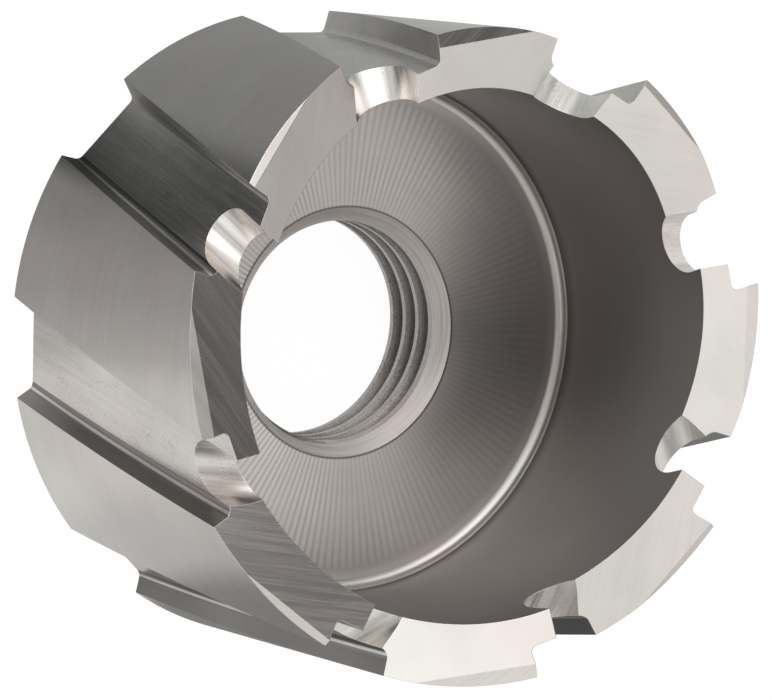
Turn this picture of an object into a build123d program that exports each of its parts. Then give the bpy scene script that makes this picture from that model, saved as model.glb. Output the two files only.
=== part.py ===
from build123d import *
import math
import os

# Annular cutter head: a hollow mill turned, fluted and ground from one steel bar, in millimetres.
# Origin at the centre of the back face, +Z along the axis towards the cutting teeth.
# Angles are measured anticlockwise about +Z, seen from the teeth, which is the way the cutter turns.

# Turned body
cutter_diameter = 51.0
cup_diameter = 41.5
tip_height = 30.3
base_thickness = 8.3
cup_corner_radius = 0.8

# Threaded bore, drawn at the thread's crests: nominal diameter and pitch set the crest radius
thread_diameter = 20.0
thread_pitch = 2.0
thread_crest_share = 0.5413
bore_mouth_chamfer = 1.1
bore_back_chamfer = 0.15

# Helical flutes, deepest at the tips, where their flanks stand straight, and opening towards the back
tooth_count = 8
land_angle = 26.8
flute_lead = 593.0
tip_flute_depth = 2.5
back_flute_depth = 1.9
tip_leading_lean = 0.0
back_leading_lean = 10.0
tip_trailing_lean = -4.0
back_trailing_lean = 20.0
flute_floor_lean = 6.5
leading_corner_radius = 0.5
trailing_corner_radius = 0.8

# Ground end face of each tooth: a plane that falls inwards and towards the tooth's heel
end_face_dish = 12.65
end_face_relief = 9.7

# Bevel at each tooth's outer corner, widest at the cutting edge and running out along the rim: wide
# on every second tooth and narrow on the teeth between, so that neighbours split the chip
wide_bevel_width = 1.06
wide_bevel_drop = 0.16
wide_bevel_run = 22.5
narrow_bevel_width = 0.5
narrow_bevel_drop = 0.13
narrow_bevel_run = 19.0

# Round-bottomed gullet milled through the web between two teeth
gullet_cutter_radius = 2.32
gullet_angle_ahead = 10.3
gullet_depth = 2.96
gullet_fall = 31.0
gullet_skew = 16.3
gullet_lean = 18.7

outer_radius = cutter_diameter / 2
cup_radius = cup_diameter / 2
bore_radius = thread_diameter / 2 - thread_crest_share * thread_pitch
tooth_pitch = 360 / tooth_count
ridge_radius = outer_radius - narrow_bevel_width
flute_angle = tooth_pitch - land_angle
web_radius = outer_radius - tip_flute_depth
overrun = 1.5
flute_spans = 4


def polar(radius, angle):
    """A point at a radius and an angle in degrees about the axis."""
    return (radius * math.cos(math.radians(angle)), radius * math.sin(math.radians(angle)))


def turned_blank():
    """The body before its flutes: a thick base, a thin wall and the bore, in one turned profile."""
    top = tip_height + overrun
    profile = Polyline(
        (bore_radius + bore_back_chamfer, 0),
        (outer_radius, 0),
        (outer_radius, top),
        (cup_radius, top),
        (cup_radius, base_thickness),
        (bore_radius + bore_mouth_chamfer, base_thickness),
        (bore_radius, base_thickness - bore_mouth_chamfer),
        (bore_radius, bore_back_chamfer),
        close=True,
    )
    section = make_face(profile)
    cup_corner = section.vertices().sort_by_distance((cup_radius, base_thickness))[0]
    section = fillet(cup_corner, cup_corner_radius)
    return revolve(Plane.XZ * section, Axis.Z)


def along_flute(at_tips, at_back, height):
    """A size of the flute at a height, which changes evenly from the tips to the back face."""
    return at_back + (at_tips - at_back) * height / tip_height


def flank(edge_angle, lean, floor_radius):
    """The two ends of a flute's flank: in the open past the land's edge, and down on the floor."""
    edge = Vector(*polar(outer_radius, edge_angle))
    outward = Vector(*polar(1, edge_angle + lean))
    floor_normal = Vector(*polar(1, flute_floor_lean))
    drop = (edge.dot(floor_normal) - floor_radius) / outward.dot(floor_normal)
    return edge + outward * overrun, edge - outward * drop


def flute_section(height):
    """One flute across the axis at a height, with its leading flank at angle zero at the tips."""
    floor_radius = outer_radius - along_flute(tip_flute_depth, back_flute_depth, height)
    leading_lean = along_flute(tip_leading_lean, back_leading_lean, height)
    trailing_lean = along_flute(tip_trailing_lean, back_trailing_lean, height)
    lead_end, lead_corner = flank(0, -leading_lean, floor_radius)
    trail_end, trail_corner = flank(flute_angle, trailing_lean, floor_radius)
    crown = polar((outer_radius + overrun) / math.cos(math.radians(flute_angle / 2)), flute_angle / 2)
    section = make_face(Polyline(lead_end, lead_corner, trail_corner, trail_end, crown, close=True))
    section = fillet(section.vertices().sort_by_distance(lead_corner)[0], leading_corner_radius)
    section = fillet(section.vertices().sort_by_distance(trail_corner)[0], trailing_corner_radius)
    turn = 360 / flute_lead * (height - tip_height)
    return Pos(0, 0, height) * Rot(0, 0, turn) * halved_arcs(section)


def halved_arcs(section):
    """The same outline with each round made of two arcs, which loft into far lighter faces."""
    lines = section.edges().filter_by(GeomType.LINE)
    arcs = section.edges().filter_by(GeomType.CIRCLE)
    halves = [arc.trim(start, start + 0.5) for arc in arcs for start in (0, 0.5)]
    return make_face(Wire.combine([*lines, *halves])[0])


def flute_cutter():
    """The flute's section screwed up the body, as one loft through evenly spaced heights."""
    bottom = -overrun
    rise = (tip_height + 2 * overrun) / flute_spans
    return loft([flute_section(bottom + span * rise) for span in range(flute_spans + 1)])


def on_end_face(x, y):
    """The point of the ground end over a place in the plan, for the cutting edge at angle zero."""
    rise_out = math.tan(math.radians(end_face_dish))
    rise_ahead = math.tan(math.radians(end_face_relief))
    return Vector(x, y, tip_height + rise_out * (x - ridge_radius) + rise_ahead * y)


def end_face_plane():
    """The plane ground on the end of the tooth whose cutting edge lies at angle zero."""
    start = on_end_face(ridge_radius, 0)
    outward = on_end_face(outer_radius, 0) - start
    ahead = on_end_face(ridge_radius, 1) - start
    return Plane(origin=start, x_dir=outward, z_dir=outward.cross(ahead))


def corner_bevel_plane(width, drop, run):
    """The plane through the cutting corner that meets the end face along the bevel's inner edge."""
    start = on_end_face(outer_radius - width, 0)
    outward = Vector(outer_radius, 0, tip_height - drop) - start
    inner_edge = on_end_face(*polar(outer_radius, -run)) - start
    return Plane(origin=start, x_dir=outward, z_dir=inner_edge.cross(outward))


def above(plane):
    """A block of everything above a plane, large enough to clear one tooth."""
    size = 2 * cutter_diameter
    return plane * Box(size, size, size, align=(Align.CENTER, Align.CENTER, Align.MIN))


def end_face_cutter(bevel_width, bevel_drop, bevel_run):
    """What grinding takes off one tooth's end, between the middles of its two gullets."""
    reach = cutter_diameter
    ahead = gullet_angle_ahead
    behind = ahead - tooth_pitch
    sector = make_face(Polyline((0, 0), polar(reach, behind), polar(reach, ahead), close=True))
    slice_of_bar = extrude(sector, amount=tip_height + 2 * overrun)
    bevel = corner_bevel_plane(bevel_width, bevel_drop, bevel_run)
    return (above(end_face_plane()) + above(bevel)) & slice_of_bar


def gullet_cutter():
    """A round-ended slot ahead of one tooth, falling outwards and leaning with the flutes."""
    x, y = polar((cup_radius + web_radius) / 2, gullet_angle_ahead)
    fall = math.radians(gullet_fall)
    outward_x, outward_y = polar(math.cos(fall), -gullet_skew)
    outward = Vector(outward_x, outward_y, -math.sin(fall))
    across = Vector(0, 0, 1).cross(outward)
    slot = Plane(origin=(x, y, tip_height - gullet_depth), x_dir=across, z_dir=outward)
    length = 4 * gullet_cutter_radius
    outline = Pos(length / 2, 0) * SlotCenterToCenter(length, 2 * gullet_cutter_radius)
    leaning = slot * Rot(0, 0, 90 - gullet_lean) * outline
    thickness = outer_radius - cup_radius
    return extrude(leaning, amount=2 * thickness, both=True)


def around(cutter, first=0, step=1):
    """Copies of one cutter, turned to every tooth from the first one on, or only to every second."""
    return [Rot(0, 0, tooth * tooth_pitch) * cutter for tooth in range(first, tooth_count, step)]


def annular_cutter():
    """The finished cutter: blank, less flutes, gullets and the ground ends of the teeth."""
    body = turned_blank()
    body = body - around(flute_cutter())
    body = body - around(gullet_cutter())
    wide = end_face_cutter(wide_bevel_width, wide_bevel_drop, wide_bevel_run)
    narrow = end_face_cutter(narrow_bevel_width, narrow_bevel_drop, narrow_bevel_run)
    return body - around(wide, 0, 2) - around(narrow, 1, 2)


cutter = annular_cutter()
cutter.label = "annular_cutter"
os.makedirs("parts", exist_ok=True)
export_step(cutter, "parts/annular_cutter.step")
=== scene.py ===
import logging
import math
from dataclasses import dataclass
from enum import Enum, IntEnum

import bmesh
import bpy
from mathutils import Matrix, Vector


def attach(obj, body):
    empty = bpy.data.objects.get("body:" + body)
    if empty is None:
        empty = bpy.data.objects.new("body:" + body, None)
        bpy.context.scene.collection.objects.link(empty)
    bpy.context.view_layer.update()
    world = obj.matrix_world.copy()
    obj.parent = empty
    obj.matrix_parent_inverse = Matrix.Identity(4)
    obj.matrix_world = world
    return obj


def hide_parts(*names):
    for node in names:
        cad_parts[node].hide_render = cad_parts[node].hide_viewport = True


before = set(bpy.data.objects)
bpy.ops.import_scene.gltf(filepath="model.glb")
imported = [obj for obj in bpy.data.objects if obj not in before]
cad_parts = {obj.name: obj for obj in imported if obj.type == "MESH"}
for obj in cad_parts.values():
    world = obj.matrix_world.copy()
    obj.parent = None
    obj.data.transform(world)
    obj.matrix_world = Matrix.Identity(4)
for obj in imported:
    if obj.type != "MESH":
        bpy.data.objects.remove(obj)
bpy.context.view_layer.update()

# Every size is written in millimetres, as on a drawing, and turned into metres where Blender takes it.
MM = 0.001
CUTTER_NODE = "annular_cutter"
LOG = logging.getLogger("annular cutter")

# The two factors of a common recipe for numbers that look random
SCATTER_TURN = 12.9
SCATTER_GAIN = 43.7

Socket = bpy.types.NodeSocket
Sockets = bpy.types.bpy_prop_collection
Node = bpy.types.Node
Section = list[tuple[Vector, "Cut"]]


class Cut(IntEnum):
    """Each way in which a surface of the cutter was made, in the order of its material slots."""

    BACK = 0
    LAND = 1
    FLUTE = 2
    RAKE = 3
    GULLET = 4
    END_FACE = 5
    CORNER_BEVEL = 6
    CUP_FLOOR = 7
    CUP_CORNER = 8
    CUP_WALL = 9
    MOUTH = 10
    THREAD = 11
    # The trailing flank, whose slot carries painted shade
    TRAIL = 12


class Lay(Enum):
    """The way that a tool's fine marks run over a surface."""

    ROUND_THE_AXIS = "round the axis"
    ROUND_A_FACE = "rings on a face"
    ALONG_A_FLUTE = "along a flute"
    ACROSS_A_TOOTH = "across a tooth's end"
    ALONG_A_GULLET = "along a gullet"


# Node trees


class Graph:
    """Adds and joins the nodes of one tree, so that a tree reads as a list of steps."""

    def __init__(self, tree: bpy.types.NodeTree) -> None:
        """Starts on an empty tree.

        Args:
            tree: The shader or geometry node tree that the steps go into.
        """
        self.tree = tree

    def feed(self, socket: Socket, value: object) -> None:
        """Joins a socket to another, or gives it a plain value.

        Args:
            socket: The input to set.
            value: An output socket, or the value itself.
        """
        if isinstance(value, bpy.types.NodeSocket):
            self.tree.links.new(value, socket)
        else:
            socket.default_value = value

    def add(self, kind: str, inputs: dict | None = None, **settings: object) -> Node:
        """Adds one node.

        Args:
            kind: The node's type name in Blender.
            inputs: Its inputs by name or number, each an output socket or a plain value.
            settings: The node's own properties.

        Returns:
            The new node.
        """
        node = self.tree.nodes.new(kind)
        for name, value in settings.items():
            setattr(node, name, value)
        for key, value in (inputs or {}).items():
            self.feed(node.inputs[key], value)
        return node

    def group(self, tree: bpy.types.NodeTree, inputs: dict) -> Sockets:
        """Places a shared group, with values for its named inputs, and gives its outputs."""
        return self.add("ShaderNodeGroup", inputs, node_tree=tree).outputs

    def math(self, operation: str, *values: object) -> Socket:
        """Works out one number from others, by an operation of the Math node."""
        return self.add("ShaderNodeMath", dict(enumerate(values)), operation=operation).outputs[0]

    def plus(self, first: object, second: object) -> Socket:
        """Adds two numbers."""
        return self.math("ADD", first, second)

    def less(self, first: object, second: object) -> Socket:
        """Takes the second number from the first."""
        return self.math("SUBTRACT", first, second)

    def times(self, first: object, second: object) -> Socket:
        """Multiplies two numbers."""
        return self.math("MULTIPLY", first, second)

    def between(self, share: object, low: float, high: float) -> Socket:
        """The number that lies at a share of the way from a low one to a high one."""
        return self.math("MULTIPLY_ADD", share, high - low, low)

    def scattered(self, number: Socket) -> Socket:
        """Turns a whole number into one between 0 and 1 that looks random."""
        wave = self.math("SINE", self.times(number, SCATTER_TURN))
        return self.math("FRACT", self.times(wave, SCATTER_GAIN))

    def fade(self, value: Socket, start: float, end: float, low: float = 0.0, high: float = 1.0) -> Socket:
        """Turns a number's range smoothly into another range.

        Args:
            value: The number.
            start: Where the fade starts.
            end: Where the fade ends.
            low: The result at the start and before it.
            high: The result at the end and past it.

        Returns:
            The faded number's socket.
        """
        inputs = {"Value": value, "From Min": start, "From Max": end, "To Min": low, "To Max": high}
        return self.add("ShaderNodeMapRange", inputs, interpolation_type="SMOOTHSTEP").outputs["Result"]

    def vector(self, operation: str, *values: object, out: str = "Vector") -> Socket:
        """Works out one vector, or a number from vectors.

        Args:
            operation: The Vector Math node's operation.
            values: Its operands, in order.
            out: The output to take, which is Value for a product or a length.

        Returns:
            The result's socket.
        """
        inputs = dict(enumerate(values))
        return self.add("ShaderNodeVectorMath", inputs, operation=operation).outputs[out]

    def scaled(self, vector: object, factor: object) -> Socket:
        """Makes a vector or a colour a factor times as long."""
        return self.add("ShaderNodeVectorMath", {0: vector, "Scale": factor}, operation="SCALE").outputs[0]

    def mix_colour(self, share: object, low: object, high: object) -> Socket:
        """Mixes a share of the second colour into the first."""
        return self.add("ShaderNodeMix", {0: share, 6: low, 7: high}, data_type="RGBA").outputs[2]

    def object_point(self) -> Socket:
        """The point that is being shaded, in the object's own coordinates."""
        return self.add("ShaderNodeTexCoord").outputs["Object"]

    def axes(self, point: Socket) -> Sockets:
        """A point's X, Y and Z."""
        return self.add("ShaderNodeSeparateXYZ", {0: point}).outputs

    def point(self, x: object = 0.0, y: object = 0.0, z: object = 0.0) -> Socket:
        """Puts a point together from its X, Y and Z."""
        return self.add("ShaderNodeCombineXYZ", {"X": x, "Y": y, "Z": z}).outputs[0]

    def azimuth(self, point: Socket) -> Socket:
        """A point's angle about the cutter's axis, in radians."""
        axes = self.axes(point)
        return self.math("ARCTAN2", axes["Y"], axes["X"])

    def radius(self, point: Socket) -> Socket:
        """A point's distance from the cutter's axis."""
        flat = self.vector("MULTIPLY", point, (1.0, 1.0, 0.0))
        return self.vector("LENGTH", flat, out="Value")

    def turned(self, point: Socket, angle: object) -> Socket:
        """Turns a point about the cutter's axis by an angle in radians."""
        inputs = {"Vector": point, "Angle": angle}
        return self.add("ShaderNodeVectorRotate", inputs, rotation_type="Z_AXIS").outputs[0]

    def noise(self, point: Socket, scale: object, detail: float) -> Socket:
        """Draws a soft random pattern about one half.

        Args:
            point: Where the pattern is read.
            scale: How many of its cells lie in a metre.
            detail: How many finer layers it has.

        Returns:
            The pattern's socket.
        """
        inputs = {"Vector": point, "Scale": scale, "Detail": detail}
        return self.add("ShaderNodeTexNoise", inputs).outputs[0]


def new_tree(
    kind: str, name: str, inputs: dict[str, str], outputs: dict[str, str]
) -> tuple[Graph, Sockets, Sockets]:
    """Starts a node tree with named sockets.

    Args:
        kind: What the tree works on, Shader or Geometry.
        name: The tree's name.
        inputs: The kind of value that each input takes, such as Float.
        outputs: The kind of value that each output gives.

    Returns:
        The tree's graph, the values that it is given, and the sockets for its results.
    """
    tree = bpy.data.node_groups.new(name, f"{kind}NodeTree")
    for side, sockets in (("INPUT", inputs), ("OUTPUT", outputs)):
        for label, value in sockets.items():
            tree.interface.new_socket(label, in_out=side, socket_type=f"NodeSocket{value}")
    graph = Graph(tree)
    return graph, graph.add("NodeGroupInput").outputs, graph.add("NodeGroupOutput").inputs


def cleared(owner: bpy.types.Material | bpy.types.World) -> Graph:
    """Gives a material or a world an empty node tree.

    Args:
        owner: The material or the world.

    Returns:
        The tree's graph.
    """
    owner.use_nodes = True
    owner.node_tree.nodes.clear()
    return Graph(owner.node_tree)


# The cutter's shape


@dataclass(frozen=True)
class CutterSizes:
    """The real sizes of the cutter, in millimetres and degrees, with +Z towards its teeth."""

    cutter_radius: float = 25.5
    cup_radius: float = 20.75
    tip_height: float = 30.3
    base_thickness: float = 8.3
    cup_corner_radius: float = 0.8
    thread_radius: float = 10.0
    thread_pitch: float = 2.0
    thread_crest_share: float = 0.5413
    mouth_chamfer: float = 1.1
    back_chamfer: float = 0.15
    teeth: int = 8
    land_angle: float = 26.8
    flute_lead: float = 593.0
    overrun: float = 1.5

    @property
    def tooth_pitch(self) -> float:
        """The angle from one tooth to the next."""
        return 360 / self.teeth

    @property
    def crest_radius(self) -> float:
        """The radius of the bore at its thread's crests."""
        return self.thread_radius - self.thread_crest_share * self.thread_pitch


def polar(radius: float, degrees: float, height: float = 0.0) -> Vector:
    """Finds a point by its radius, its angle about the axis and its height.

    Args:
        radius: The distance from the axis.
        degrees: The angle, anticlockwise seen from the teeth.
        height: The height over the back face.

    Returns:
        The point.
    """
    angle = math.radians(degrees)
    return Vector((radius * math.cos(angle), radius * math.sin(angle), height))


def rounded_corner(before: Vector, corner: Vector, after: Vector, radius: float, steps: int) -> list[Vector]:
    """Replaces a sharp corner by an arc that touches both of its sides.

    Args:
        before: A point on the side that comes in.
        corner: The sharp corner.
        after: A point on the side that goes out.
        radius: The arc's radius.
        steps: How many straight pieces the arc has.

    Returns:
        The arc's points, from the first side to the second.
    """
    back = (before - corner).normalized()
    on = (after - corner).normalized()
    half = back.angle(on) / 2
    centre = corner + (back + on).normalized() * radius / math.sin(half)
    first = (corner + back * radius / math.tan(half) - centre).normalized()
    last = (corner + on * radius / math.tan(half) - centre).normalized()
    return [centre + first.slerp(last, step / steps) * radius for step in range(steps + 1)]


class MeshMaker:
    """Gathers points and faces in millimetres, each face with the way that it was cut."""

    def __init__(self, name: str) -> None:
        """Starts an empty mesh.

        Args:
            name: The name of the object that the mesh becomes.
        """
        self.name = name
        self.points: list[Vector] = []
        self.faces: list[tuple[int, ...]] = []
        self.cuts: list[int] = []

    def ring(self, points: list[Vector]) -> list[int]:
        """Adds points in a row and gives their numbers."""
        self.points.extend(points)
        return list(range(len(self.points) - len(points), len(self.points)))

    def face(self, corners: list[int], cut: Cut = Cut.BACK) -> None:
        """Adds one face with its cut."""
        self.faces.append(tuple(corners))
        self.cuts.append(int(cut))

    def skin(self, rings: list[list[int]], cuts: list[Cut], joined: bool = False) -> None:
        """Covers a row of closed outlines with four-sided faces.

        Args:
            rings: The outlines, each with as many points as the next.
            cuts: The cut of each side of the outline.
            joined: Whether the last outline meets the first.
        """
        count = len(cuts)
        following = rings[1:] + rings[:1] if joined else rings[1:]
        for low, high in zip(rings, following):
            for side in range(count):
                after = (side + 1) % count
                self.face([low[side], low[after], high[after], high[side]], cuts[side])

    def build(self) -> bpy.types.Object:
        """Makes the object, in metres, with every face pointing outwards.

        Returns:
            The object, which is in no collection yet.
        """
        mesh = bpy.data.meshes.new(self.name)
        mesh.from_pydata([tuple(point * MM) for point in self.points], [], self.faces)
        cut = mesh.attributes.new("cut", "INT", "FACE")
        cut.data.foreach_set("value", self.cuts)
        work = bmesh.new()
        work.from_mesh(mesh)
        bmesh.ops.recalc_face_normals(work, faces=work.faces)
        work.to_mesh(mesh)
        work.free()
        return bpy.data.objects.new(self.name, mesh)


@dataclass
class TurnedBlank:
    """The bar after turning: a thick base, a thin wall, the bore and the chamfer at its mouth."""

    sizes: CutterSizes
    sides: int = 720
    corner_steps: int = 10

    def profile(self) -> Section:
        """Draws half of the blank's section.

        Returns:
            The outline's points, each with the cut of the side that leaves it.
        """
        s = self.sizes
        top = s.tip_height + s.overrun
        corner = Vector((s.cup_radius, 0, s.base_thickness))
        inward = Vector((0, 0, s.base_thickness))
        upward = Vector((s.cup_radius, 0, top))
        arc = rounded_corner(upward, corner, inward, s.cup_corner_radius, self.corner_steps)
        outline = [
            (Vector((s.crest_radius + s.back_chamfer, 0, 0)), Cut.BACK),
            (Vector((s.cutter_radius, 0, 0)), Cut.LAND),
            (Vector((s.cutter_radius, 0, top)), Cut.END_FACE),
            (upward, Cut.CUP_WALL),
        ]
        outline += [(point, Cut.CUP_CORNER) for point in arc[:-1]]
        outline += [
            (arc[-1], Cut.CUP_FLOOR),
            (Vector((s.crest_radius + s.mouth_chamfer, 0, s.base_thickness)), Cut.MOUTH),
            (Vector((s.crest_radius, 0, s.base_thickness - s.mouth_chamfer)), Cut.THREAD),
            (Vector((s.crest_radius, 0, s.back_chamfer)), Cut.THREAD),
        ]
        return outline

    def build(self) -> bpy.types.Object:
        """Spins the section round the axis.

        Returns:
            The blank.
        """
        outline = self.profile()
        maker = MeshMaker("turned_blank")
        rings = []
        for side in range(self.sides):
            turn = Matrix.Rotation(2 * math.pi * side / self.sides, 3, "Z")
            rings.append(maker.ring([turn @ point for point, _ in outline]))
        maker.skin(rings, [cut for _, cut in outline], joined=True)
        return maker.build()


@dataclass
class FluteCut:
    """One helical flute, deepest at the tips, where its flanks are straight, and opening towards the back."""

    sizes: CutterSizes
    tip_depth: float = 2.5
    back_depth: float = 1.9
    tip_leading_lean: float = 0.0
    back_leading_lean: float = 10.0
    tip_trailing_lean: float = -4.0
    back_trailing_lean: float = 20.0
    floor_lean: float = 6.5
    leading_corner_radius: float = 0.5
    trailing_corner_radius: float = 0.8
    rises: int = 48
    corner_steps: int = 12
    painted_highlight_steps: tuple[int, int] = (6, 9)

    def along(self, at_tips: float, at_back: float, height: float) -> float:
        """A size of the flute at a height, which changes evenly from the tips to the back face."""
        return at_back + (at_tips - at_back) * height / self.sizes.tip_height

    def flank(self, edge_angle: float, lean: float, floor_radius: float) -> tuple[Vector, Vector]:
        """Finds the two ends of a flank.

        Args:
            edge_angle: Where the land's edge lies, in degrees.
            lean: How far the flank leans out, in degrees.
            floor_radius: The distance of the flute's floor from the axis.

        Returns:
            The end in the open past the land's edge, and the end on the floor.
        """
        edge = polar(self.sizes.cutter_radius, edge_angle)
        outward = polar(1, edge_angle + lean)
        floor_normal = polar(1, self.floor_lean)
        drop = (edge.dot(floor_normal) - floor_radius) / outward.dot(floor_normal)
        return edge + outward * self.sizes.overrun, edge - outward * drop

    def section(self, height: float) -> Section:
        """Draws the flute across the axis at one height.

        Args:
            height: The height over the back face.

        Returns:
            The outline's points, each with the cut of the side that leaves it.
        """
        s = self.sizes
        floor_radius = s.cutter_radius - self.along(self.tip_depth, self.back_depth, height)
        leading_lean = self.along(self.tip_leading_lean, self.back_leading_lean, height)
        trailing_lean = self.along(self.tip_trailing_lean, self.back_trailing_lean, height)
        flute_angle = s.tooth_pitch - s.land_angle
        lead_end, lead_corner = self.flank(0, -leading_lean, floor_radius)
        trail_end, trail_corner = self.flank(flute_angle, trailing_lean, floor_radius)
        crown_radius = (s.cutter_radius + s.overrun) / math.cos(math.radians(flute_angle / 2))
        steps = self.corner_steps
        lead_arc = rounded_corner(lead_end, lead_corner, trail_corner, self.leading_corner_radius, steps)
        trail_arc = rounded_corner(lead_corner, trail_corner, trail_end, self.trailing_corner_radius, steps)
        outline = [(lead_end, Cut.RAKE)]
        outline += [(point, Cut.FLUTE) for point in lead_arc]
        # Painted highlight: the middle facets of the trailing fillet take the flute's lighter steel, as a
        # bright line beside the heel flank's painted shade.
        for step, point in enumerate(trail_arc):
            bright = step in range(*self.painted_highlight_steps)
            outline.append((point, Cut.FLUTE if bright else Cut.TRAIL))
        outline.append((trail_end, Cut.TRAIL))
        outline.append((polar(crown_radius, flute_angle / 2), Cut.FLUTE))
        turn = Matrix.Rotation(2 * math.pi * (height - s.tip_height) / s.flute_lead, 3, "Z")
        lift = Vector((0, 0, height))
        return [(turn @ point + lift, cut) for point, cut in outline]

    def build(self) -> bpy.types.Object:
        """Lofts the sections up the cutter.

        Returns:
            What one flute takes away.
        """
        bottom = -self.sizes.overrun
        rise = (self.sizes.tip_height + 2 * self.sizes.overrun) / self.rises
        maker = MeshMaker("flute_cut")
        sections = [self.section(bottom + step * rise) for step in range(self.rises + 1)]
        rings = [maker.ring([point for point, _ in section]) for section in sections]
        maker.skin(rings, [cut for _, cut in sections[0]])
        maker.face(rings[0], Cut.FLUTE)
        maker.face(rings[-1], Cut.FLUTE)
        return maker.build()


@dataclass
class GulletCut:
    """One round-ended slot milled through the web ahead of a tooth, falling outwards."""

    sizes: CutterSizes
    radius: float = 2.32
    angle_ahead: float = 10.3
    depth: float = 2.96
    fall: float = 31.0
    skew: float = 16.3
    lean: float = 18.7
    arc_steps: int = 48
    open_radii: int = 4

    def outward(self) -> Vector:
        """Finds the way along the slot.

        Returns:
            A vector of length 1, out of the cutter.
        """
        fall = math.radians(self.fall)
        level = polar(math.cos(fall), -self.skew)
        return Vector((level.x, level.y, -math.sin(fall)))

    def centre(self) -> Vector:
        """Finds the middle of the slot's round bottom.

        Returns:
            A point halfway through the wall that the flutes leave.
        """
        s = self.sizes
        web_radius = s.cutter_radius - FluteCut.tip_depth
        return polar((s.cup_radius + web_radius) / 2, self.angle_ahead, s.tip_height - self.depth)

    def axes(self) -> tuple[Vector, Vector, Vector]:
        """Finds the slot's own axes.

        Returns:
            The ways across the slot, out of its bottom, and along it.
        """
        along = self.outward()
        across = Vector((0, 0, 1)).cross(along).normalized()
        up = along.cross(across).normalized()
        lean = math.radians(self.lean)
        rise = across * math.sin(lean) + up * math.cos(lean)
        return rise.cross(along).normalized(), rise, along

    def build(self) -> bpy.types.Object:
        """Draws the slot's round bottom and carries it through the wall.

        Returns:
            What one slot takes away.
        """
        s = self.sizes
        side, rise, along = self.axes()
        centre = self.centre()
        outline = [centre + (side + rise * self.open_radii) * self.radius]
        for step in range(self.arc_steps + 1):
            turn = math.pi * step / self.arc_steps
            outline.append(centre + (side * math.cos(turn) - rise * math.sin(turn)) * self.radius)
        outline.append(centre + (rise * self.open_radii - side) * self.radius)
        reach = 2 * (s.cutter_radius - s.cup_radius)
        maker = MeshMaker("gullet_cut")
        rings = [maker.ring([point + along * offset for point in outline]) for offset in (-reach, reach)]
        maker.skin(rings, [Cut.GULLET] * len(outline))
        maker.face(rings[0], Cut.GULLET)
        maker.face(rings[1], Cut.GULLET)
        return maker.build()


@dataclass(frozen=True)
class CornerBevel:
    """The size of a bevel at a tooth's outer corner, widest at the cutting edge."""

    width: float
    drop: float
    run: float


@dataclass
class ToothGrinding:
    """The planes ground on a tooth's end: the end face, and a wide or a narrow bevel at its outer corner."""

    sizes: CutterSizes
    dish: float = 12.65
    relief: float = 9.7
    wide: CornerBevel = CornerBevel(width=1.06, drop=0.16, run=22.5)
    narrow: CornerBevel = CornerBevel(width=0.5, drop=0.13, run=19.0)
    gullet_ahead: float = GulletCut.angle_ahead
    clearance: float = 0.4
    inner_share: float = 0.8

    def end_plane(self) -> tuple[Vector, Vector]:
        """Finds the end face of the tooth whose cutting edge lies at angle zero.

        Returns:
            A point on it, and its normal.
        """
        ridge = Vector((self.sizes.cutter_radius - self.narrow.width, 0, self.sizes.tip_height))
        rise_out, rise_ahead = math.tan(math.radians(self.dish)), math.tan(math.radians(self.relief))
        return ridge, Vector((-rise_out, -rise_ahead, 1))

    def on_end_face(self, place: Vector) -> Vector:
        """The point of the end face over a place in the plan."""
        return Vector((place.x, place.y, self.height_on(self.end_plane(), place)))

    def bevel_plane(self, bevel: CornerBevel) -> tuple[Vector, Vector]:
        """Finds a bevel, which meets the end face along a line and runs out on the rim.

        Args:
            bevel: The bevel's sizes.

        Returns:
            A point on it, and its normal.
        """
        start = self.on_end_face(polar(self.sizes.cutter_radius - bevel.width, 0))
        outward = polar(self.sizes.cutter_radius, 0, self.sizes.tip_height - bevel.drop) - start
        inner_edge = self.on_end_face(polar(self.sizes.cutter_radius, -bevel.run)) - start
        return start, inner_edge.cross(outward)

    def height_on(self, plane: tuple[Vector, Vector], point: Vector) -> float:
        """The height of a plane over a point's place."""
        origin, normal = plane
        return origin.z - (normal.x * (point.x - origin.x) + normal.y * (point.y - origin.y)) / normal.z

    def wedge(self, name: str, plane: tuple[Vector, Vector], cut: Cut) -> bpy.types.Object:
        """Makes what a grinding pass takes off between the middles of two gullets.

        Args:
            name: The wedge's name.
            plane: A point on the ground plane, and its normal.
            cut: The cut that the plane shows.

        Returns:
            The wedge.
        """
        s = self.sizes
        reach = 2 * s.cutter_radius
        ahead = self.gullet_ahead - self.clearance
        behind = self.gullet_ahead - s.tooth_pitch + self.clearance
        inner = self.inner_share * s.cup_radius
        plan = [polar(inner, ahead), polar(inner, behind), polar(reach, behind), polar(reach, ahead)]
        top = max(s.tip_height, *(self.height_on(plane, point) for point in plan)) + reach
        maker = MeshMaker(name)
        low = maker.ring([Vector((point.x, point.y, self.height_on(plane, point))) for point in plan])
        high = maker.ring([Vector((point.x, point.y, top)) for point in plan])
        maker.face(low, cut)
        maker.face(high, cut)
        maker.skin([low, high], [cut] * len(plan))
        return maker.build()

    def build(self) -> list[bpy.types.Object]:
        """Makes what each grinding pass takes off.

        Returns:
            The wedges of the end face, the wide bevel and the narrow one.
        """
        return [
            self.wedge("end_face_cut", self.end_plane(), Cut.END_FACE),
            self.wedge("wide_bevel_cut", self.bevel_plane(self.wide), Cut.CORNER_BEVEL),
            self.wedge("narrow_bevel_cut", self.bevel_plane(self.narrow), Cut.CORNER_BEVEL),
        ]


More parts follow.
